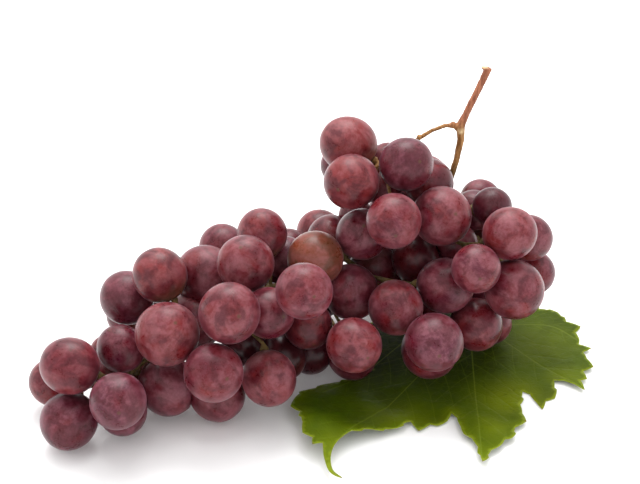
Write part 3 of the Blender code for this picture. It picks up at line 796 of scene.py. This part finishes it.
def vein_lines():
    """Every vein as a line with its half width and its strength: the main ones and their side veins."""
    veins = []
    for vein in MAIN_VEINS:
        line = smooth_line(np.array(vein) * MM + np.array(LEAF_CENTRE), 10)
        veins.append((line, 0.42 * MM, 1.0))
        length = line_length(line)
        side = 1
        travelled = 14 * MM
        while travelled < length - 9 * MM:
            root, ahead = along_line(line, travelled)
            side = -side
            turn = math.radians(46) * side
            way = np.array([
                ahead[0] * math.cos(turn) - ahead[1] * math.sin(turn),
                ahead[0] * math.sin(turn) + ahead[1] * math.cos(turn),
            ])
            reach = (length - travelled) * 0.30 + 5 * MM
            bend = ahead * reach * 0.25
            twig = np.array([root, root + way * reach * 0.5 + bend * 0.3, root + way * reach + bend])
            veins.append((smooth_line(twig, 6), 0.28 * MM, 0.45))
            travelled += 7 * MM
    return veins


def vein_points(veins, spacing):
    """Points along both sides and the middle of each vein, so that the mesh follows it."""
    points = []
    for line, width, _ in veins:
        length = line_length(line)
        for step in range(int(length / spacing) + 1):
            place, ahead = along_line(line, step * spacing)
            side = np.array([-ahead[1], ahead[0]])
            points.extend([place, place + side * width, place - side * width])
    return np.array(points)


def vein_strength(spots, veins):
    strength = np.zeros(len(spots))
    for line, width, most in veins:
        strength = np.maximum(strength, most * np.clip(1 - near_line(spots, line) / width, 0, 1))
    return strength


def nearest_gap(points, others):
    """Distance from each point to the nearest of the others."""
    gaps = np.empty(len(points))
    for start in range(0, len(points), 1500):
        part = points[start : start + 1500]
        gaps[start : start + 1500] = np.linalg.norm(part[:, None] - others[None], axis=2).min(1)
    return gaps


def fill_leaf(fine, veins):
    """Points inside the rim and the triangles over them."""
    low = fine.min(0)
    high = fine.max(0)
    rows = int((high[1] - low[1]) / (LEAF_SPACING * 0.87)) + 1
    columns = int((high[0] - low[0]) / LEAF_SPACING) + 1
    grid = []
    for row in range(rows):
        x = low[0] + (np.arange(columns) + 0.5 * (row % 2)) * LEAF_SPACING
        y = np.full(columns, low[1] + row * LEAF_SPACING * 0.87)
        grid.append(np.column_stack([x, y]))
    grid = np.vstack(grid)
    on_veins = vein_points(veins, 0.8 * MM)
    on_veins = on_veins[nearest_gap(on_veins, fine) > 0.35 * MM]
    grid = grid[(nearest_gap(grid, fine) > LEAF_SPACING * 0.5) & (nearest_gap(grid, on_veins) > 0.6 * MM)]
    flat = [Vector(spot) for spot in np.vstack([fine, on_veins, grid])]
    edges = [(index, (index + 1) % len(fine)) for index in range(len(fine))]
    spots, _, faces, _, _, _ = delaunay_2d_cdt(flat, edges, [], 1, 1e-8)
    used = sorted({corner for face in faces for corner in face})
    order = {corner: index for index, corner in enumerate(used)}
    kept = np.array([spots[corner][:] for corner in used])
    return kept, [[order[corner] for corner in face] for face in faces]


def leaf_heights(spots, faces):
    """The CAD blade's heights, smoothed over the mesh."""
    tree = BVHTree.FromObject(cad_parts["leaf"], bpy.context.evaluated_depsgraph_get())
    heights = np.empty(len(spots))
    for index, (x, y) in enumerate(spots):
        hit = tree.ray_cast(Vector((x, y, 0.1)), Vector((0, 0, -1)))[0]
        if hit is None:
            hit = tree.find_nearest(Vector((x, y, 0.003)))[0]
        heights[index] = hit.z
    faces = np.array(faces)
    first = np.concatenate([faces[:, 0], faces[:, 1], faces[:, 2]])
    second = np.concatenate([faces[:, 1], faces[:, 2], faces[:, 0]])
    links = np.concatenate([np.column_stack([first, second]), np.column_stack([second, first])])
    degree = np.bincount(links[:, 0], minlength=len(spots))
    for _ in range(90):
        mean = np.bincount(links[:, 0], weights=heights[links[:, 1]], minlength=len(spots)) / degree
        heights += 0.5 * (mean - heights)
    return heights


def make_leaf(material):
    """The blade, finer than the CAD leaf: toothed rim, curled tip, sunken veins, puckered between them."""
    rim, soft = curl_tip(leaf_rim())
    fine, sharp = fine_rim(rim, soft)
    veins = vein_lines()
    spots, faces = fill_leaf(fine, veins)
    heights = leaf_heights(spots, faces)
    vein = vein_strength(spots, veins)
    edge = nearest_gap(spots, fine)
    out = np.linalg.norm(spots - np.array(LEAF_CENTRE), axis=1)
    free = np.clip((out - 48 * MM) / (30 * MM), 0, 1)
    ripple = np.array([noise.noise(Vector((x * 62, y * 62, 3.0))) for x, y in spots])
    pucker = np.array([noise.noise(Vector((x * 190, y * 190, 9.0))) for x, y in spots])
    heights += (1.3 * ripple * free + 0.22 * pucker - 0.16 * vein) * MM
    heights = np.maximum(heights, 0.5 * MM)
    mesh = bpy.data.meshes.new("vine_leaf")
    mesh.from_pydata(np.column_stack([spots, heights]).tolist(), [], faces)
    mesh.update()
    if sum(polygon.normal.z for polygon in mesh.polygons) < 0:
        mesh.flip_normals()
    mesh.materials.append(material)
    mesh.shade_smooth()
    rim_mark = np.clip(1 - edge / (0.6 * MM), 0, 1)
    tooth_mark = np.clip(1.2 - nearest_gap(spots, sharp) / (0.6 * MM), 0, 1)
    put(mesh, "marks", "FLOAT_VECTOR", np.column_stack([vein, rim_mark, tooth_mark]))
    near = (spots - np.array(LEAF_CENTRE)) / MM
    young = np.zeros(len(spots))
    for x, y, size, most in YOUNG_SPOTS:
        apart = (near[:, 0] - x) ** 2 + (near[:, 1] - y) ** 2
        young = np.maximum(young, most * np.exp(-(apart / size**2)))
    by_front_edge = np.exp(-((edge / (5 * MM)) ** 2)) * np.clip((-40 - near[:, 1]) / 20, 0, 1)
    young = np.maximum(young, 0.55 * by_front_edge)
    put(mesh, "young", "FLOAT", young)
    piece = bpy.data.objects.new("vine_leaf", mesh)
    bpy.context.scene.collection.objects.link(piece)
    thick = piece.modifiers.new("thickness", "SOLIDIFY")
    thick.thickness = BLADE_THICKNESS
    thick.offset = -1.0
    finish_piece(piece, "leaf_blade", "leaf")
    return piece


# ---------------------------------------------------------------- stage


def make_stage():
    """A plain pale floor, bright white surroundings, and two soft lights above and behind the bunch."""
    bpy.ops.mesh.primitive_plane_add(size=FLOOR_SIZE, location=(0, 0, -FLOOR_DROP))
    floor = bpy.context.object
    floor.name = "floor"
    floor.data.materials.append(floor_material())
    world = bpy.data.worlds.new("studio")
    bpy.context.scene.world = world
    world.use_nodes = True
    world.node_tree.nodes["Background"].inputs["Color"].default_value = colour(1.0, 1.0, 1.0)
    world.node_tree.nodes["Background"].inputs["Strength"].default_value = SKY_STRENGTH
    add_light("overhead", OVERHEAD_PLACE, OVERHEAD_SIZE, OVERHEAD_POWER)
    add_light("key", KEY_PLACE, KEY_SIZE, KEY_POWER)


def add_light(name, place, size, power):
    light = bpy.data.lights.new(name, "AREA")
    light.shape = "SQUARE"
    light.size = size
    light.energy = power
    lamp = bpy.data.objects.new(name, light)
    lamp.location = place
    lamp.rotation_euler = (Vector(LIGHT_AIM) - Vector(place)).to_track_quat("-Z", "Y").to_euler()
    bpy.context.scene.collection.objects.link(lamp)


def make_camera():
    tilt = math.radians(CAMERA_ELEVATION)
    back = Vector((0, -math.cos(tilt), math.sin(tilt)))
    data = bpy.data.cameras.new("camera")
    data.lens = CAMERA_LENS
    data.sensor_width = SENSOR_WIDTH
    camera = bpy.data.objects.new("camera", data)
    camera.location = Vector(CAMERA_TARGET) + back * CAMERA_DISTANCE
    camera.rotation_euler = (math.pi / 2 - tilt, 0, 0)
    bpy.context.scene.collection.objects.link(camera)
    bpy.context.scene.camera = camera


def main():
    bpy.context.scene.view_settings.view_transform = "Standard"
    make_camera()
    make_stage()
    skin = berry_material()
    berries = read_berries()
    grid = ball_grid(BERRY_SEGMENTS, BERRY_RINGS)
    for berry in berries:
        others = [other for other in berries if other is not berry]
        make_berry(berry, others, grid, skin)
    make_stem(berries, stem_material())
    make_leaf(leaf_material())


main()
